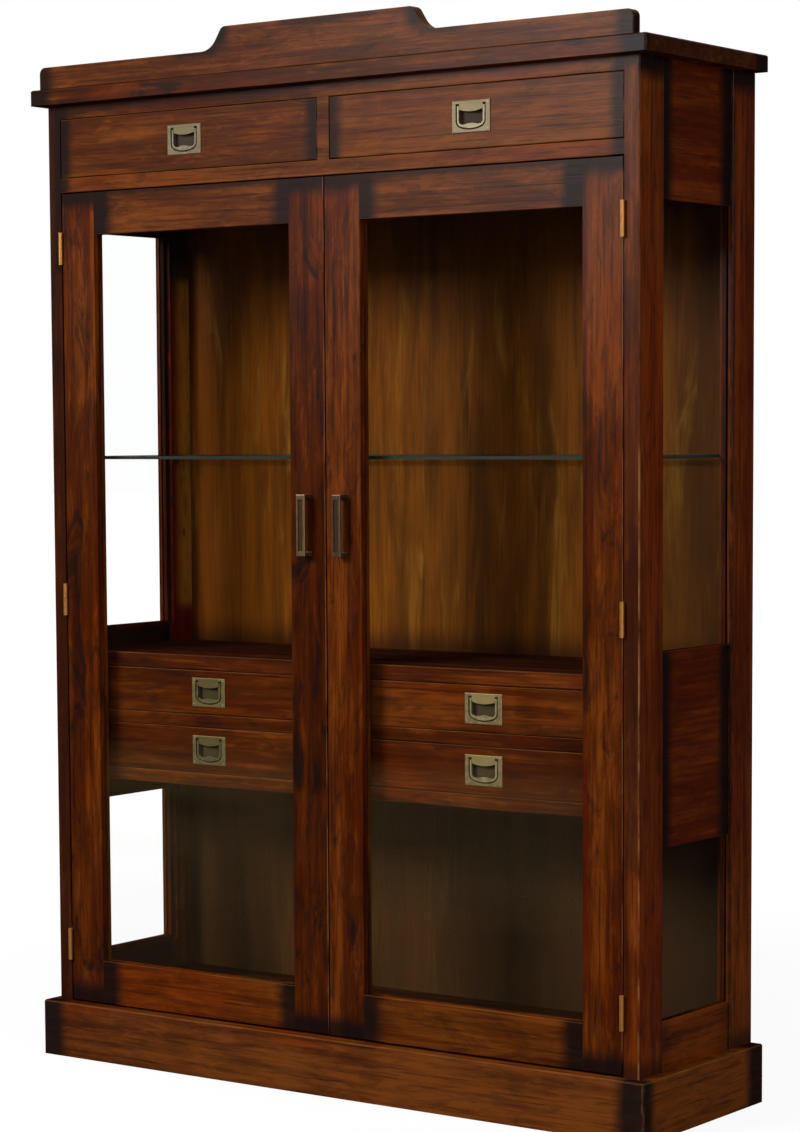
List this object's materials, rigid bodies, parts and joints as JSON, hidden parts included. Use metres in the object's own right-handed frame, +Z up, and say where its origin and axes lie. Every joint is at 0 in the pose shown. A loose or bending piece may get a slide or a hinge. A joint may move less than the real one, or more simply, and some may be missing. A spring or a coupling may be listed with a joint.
{
  "type": "display cabinet with drawers",
  "caption": "Tall glazed display cabinet with hinged doors, a glass shelf, drawers above the doors and a drawer bank behind the glass, with recessed swinging pulls.",
  "frame": {"origin": "on the floor under the middle of the cabinet's overall width and depth", "axes": "+Z up, +X to the right seen from the front, the front with the doors faces -Y"},
  "size_m": [1.35, 0.41, 1.922],
  "materials": {
    "stained_timber": "satin",
    "inner_timber": "matte",
    "back_veneer": "satin",
    "clear_glass": "clear",
    "antique_brass": "aged",
    "hinge_brass": "satin",
    "catch_steel": "satin"
  },
  "bodies": {
    "cabinet": {"back_panel": "back_veneer", "bank_bottom_board": "stained_timber", "bank_front_members": "stained_timber", "bank_partitions": "inner_timber", "bank_runners": "inner_timber", "bank_top_board": "stained_timber", "base_rails": "inner_timber", "crown_board": "stained_timber", "dust_board": "inner_timber", "floor_board": "stained_timber", "front_frame": "stained_timber", "glass_shelf": "clear_glass", "hinge_frame_leaves": "hinge_brass", "magnetic_catches": "catch_steel", "plinth_boards": "stained_timber", "shelf_brackets": "catch_steel", "side_glass": "clear_glass", "side_glass_beads": "stained_timber", "side_rails": "stained_timber", "side_stiles": "stained_timber", "top_drawer_runners": "inner_timber", "top_slab": "stained_timber"},
    "left_door": {"left_door_beads": "stained_timber", "left_door_catch_plate": "catch_steel", "left_door_glass": "clear_glass", "left_door_handle": "antique_brass", "left_door_hinge_leaves": "hinge_brass", "left_door_rails": "stained_timber", "left_door_stiles": "stained_timber"},
    "right_door": {"right_door_beads": "stained_timber", "right_door_catch_plate": "catch_steel", "right_door_glass": "clear_glass", "right_door_handle": "antique_brass", "right_door_hinge_leaves": "hinge_brass", "right_door_rails": "stained_timber", "right_door_stiles": "stained_timber"},
    "top_left_drawer": {"top_left_drawer_front": "stained_timber", "top_left_drawer_box": "inner_timber", "top_left_drawer_pull_plate": "antique_brass"},
    "top_left_drawer_pull": {"top_left_drawer_bail": "antique_brass"},
    "top_right_drawer": {"top_right_drawer_front": "stained_timber", "top_right_drawer_box": "inner_timber", "top_right_drawer_pull_plate": "antique_brass"},
    "top_right_drawer_pull": {"top_right_drawer_bail": "antique_brass"},
    "upper_left_drawer": {"upper_left_drawer_front": "stained_timber", "upper_left_drawer_box": "inner_timber", "upper_left_drawer_pull_plate": "antique_brass"},
    "upper_left_drawer_pull": {"upper_left_drawer_bail": "antique_brass"},
    "upper_right_drawer": {"upper_right_drawer_front": "stained_timber", "upper_right_drawer_box": "inner_timber", "upper_right_drawer_pull_plate": "antique_brass"},
    "upper_right_drawer_pull": {"upper_right_drawer_bail": "antique_brass"},
    "lower_left_drawer": {"lower_left_drawer_front": "stained_timber", "lower_left_drawer_box": "inner_timber", "lower_left_drawer_pull_plate": "antique_brass"},
    "lower_left_drawer_pull": {"lower_left_drawer_bail": "antique_brass"},
    "lower_right_drawer": {"lower_right_drawer_front": "stained_timber", "lower_right_drawer_box": "inner_timber", "lower_right_drawer_pull_plate": "antique_brass"},
    "lower_right_drawer_pull": {"lower_right_drawer_bail": "antique_brass"}
  },
  "joints": [
    {"name": "left_door_hinge", "type": "hinge", "parent": "cabinet", "child": "left_door", "pos_m": [-0.6188, -0.1854, 0.88], "axis": [0, 0, -1], "range_deg": [0, 170]},
    {"name": "right_door_hinge", "type": "hinge", "parent": "cabinet", "child": "right_door", "pos_m": [0.6188, -0.1854, 0.88], "axis": [0, 0, 1], "range_deg": [0, 170]},
    {"name": "top_left_drawer_slide", "type": "slide", "parent": "cabinet", "child": "top_left_drawer", "axis": [0, -1, 0], "range_m": [0, 0.24]},
    {"name": "top_right_drawer_slide", "type": "slide", "parent": "cabinet", "child": "top_right_drawer", "axis": [0, -1, 0], "range_m": [0, 0.24]},
    {"name": "upper_left_drawer_slide", "type": "slide", "parent": "cabinet", "child": "upper_left_drawer", "axis": [0, -1, 0], "range_m": [0, 0.205]},
    {"name": "upper_right_drawer_slide", "type": "slide", "parent": "cabinet", "child": "upper_right_drawer", "axis": [0, -1, 0], "range_m": [0, 0.205]},
    {"name": "lower_left_drawer_slide", "type": "slide", "parent": "cabinet", "child": "lower_left_drawer", "axis": [0, -1, 0], "range_m": [0, 0.205]},
    {"name": "lower_right_drawer_slide", "type": "slide", "parent": "cabinet", "child": "lower_right_drawer", "axis": [0, -1, 0], "range_m": [0, 0.205]},
    {"name": "top_left_drawer_pull_hinge", "type": "hinge", "parent": "top_left_drawer", "child": "top_left_drawer_pull", "pos_m": [-0.3163, -0.1814, 1.74635], "axis": [-1, 0, 0], "range_deg": [0, 90]},
    {"name": "top_right_drawer_pull_hinge", "type": "hinge", "parent": "top_right_drawer", "child": "top_right_drawer_pull", "pos_m": [0.3163, -0.1814, 1.74635], "axis": [-1, 0, 0], "range_deg": [0, 90]},
    {"name": "upper_left_drawer_pull_hinge", "type": "hinge", "parent": "upper_left_drawer", "child": "upper_left_drawer_pull", "pos_m": [-0.3085, -0.1374, 0.729], "axis": [-1, 0, 0], "range_deg": [0, 85]},
    {"name": "upper_right_drawer_pull_hinge", "type": "hinge", "parent": "upper_right_drawer", "child": "upper_right_drawer_pull", "pos_m": [0.3085, -0.1374, 0.729], "axis": [-1, 0, 0], "range_deg": [0, 85]},
    {"name": "lower_left_drawer_pull_hinge", "type": "hinge", "parent": "lower_left_drawer", "child": "lower_left_drawer_pull", "pos_m": [-0.3085, -0.1374, 0.6205], "axis": [-1, 0, 0], "range_deg": [0, 85]},
    {"name": "lower_right_drawer_pull_hinge", "type": "hinge", "parent": "lower_right_drawer", "child": "lower_right_drawer_pull", "pos_m": [0.3085, -0.1374, 0.6205], "axis": [-1, 0, 0], "range_deg": [0, 85]}
  ],
  "couplings": [
    {"joint": "upper_left_drawer_slide", "follows": "left_door_hinge", "m_per_rad": 0.068755},
    {"joint": "upper_right_drawer_slide", "follows": "right_door_hinge", "m_per_rad": 0.068755},
    {"joint": "lower_left_drawer_slide", "follows": "left_door_hinge", "m_per_rad": 0.068755},
    {"joint": "lower_right_drawer_slide", "follows": "right_door_hinge", "m_per_rad": 0.068755},
    {"joint": "upper_left_drawer_pull_hinge", "follows": "left_door_hinge", "ratio": 0.5},
    {"joint": "upper_right_drawer_pull_hinge", "follows": "right_door_hinge", "ratio": 0.5},
    {"joint": "lower_left_drawer_pull_hinge", "follows": "left_door_hinge", "ratio": 0.5},
    {"joint": "lower_right_drawer_pull_hinge", "follows": "right_door_hinge", "ratio": 0.5}
  ]
}
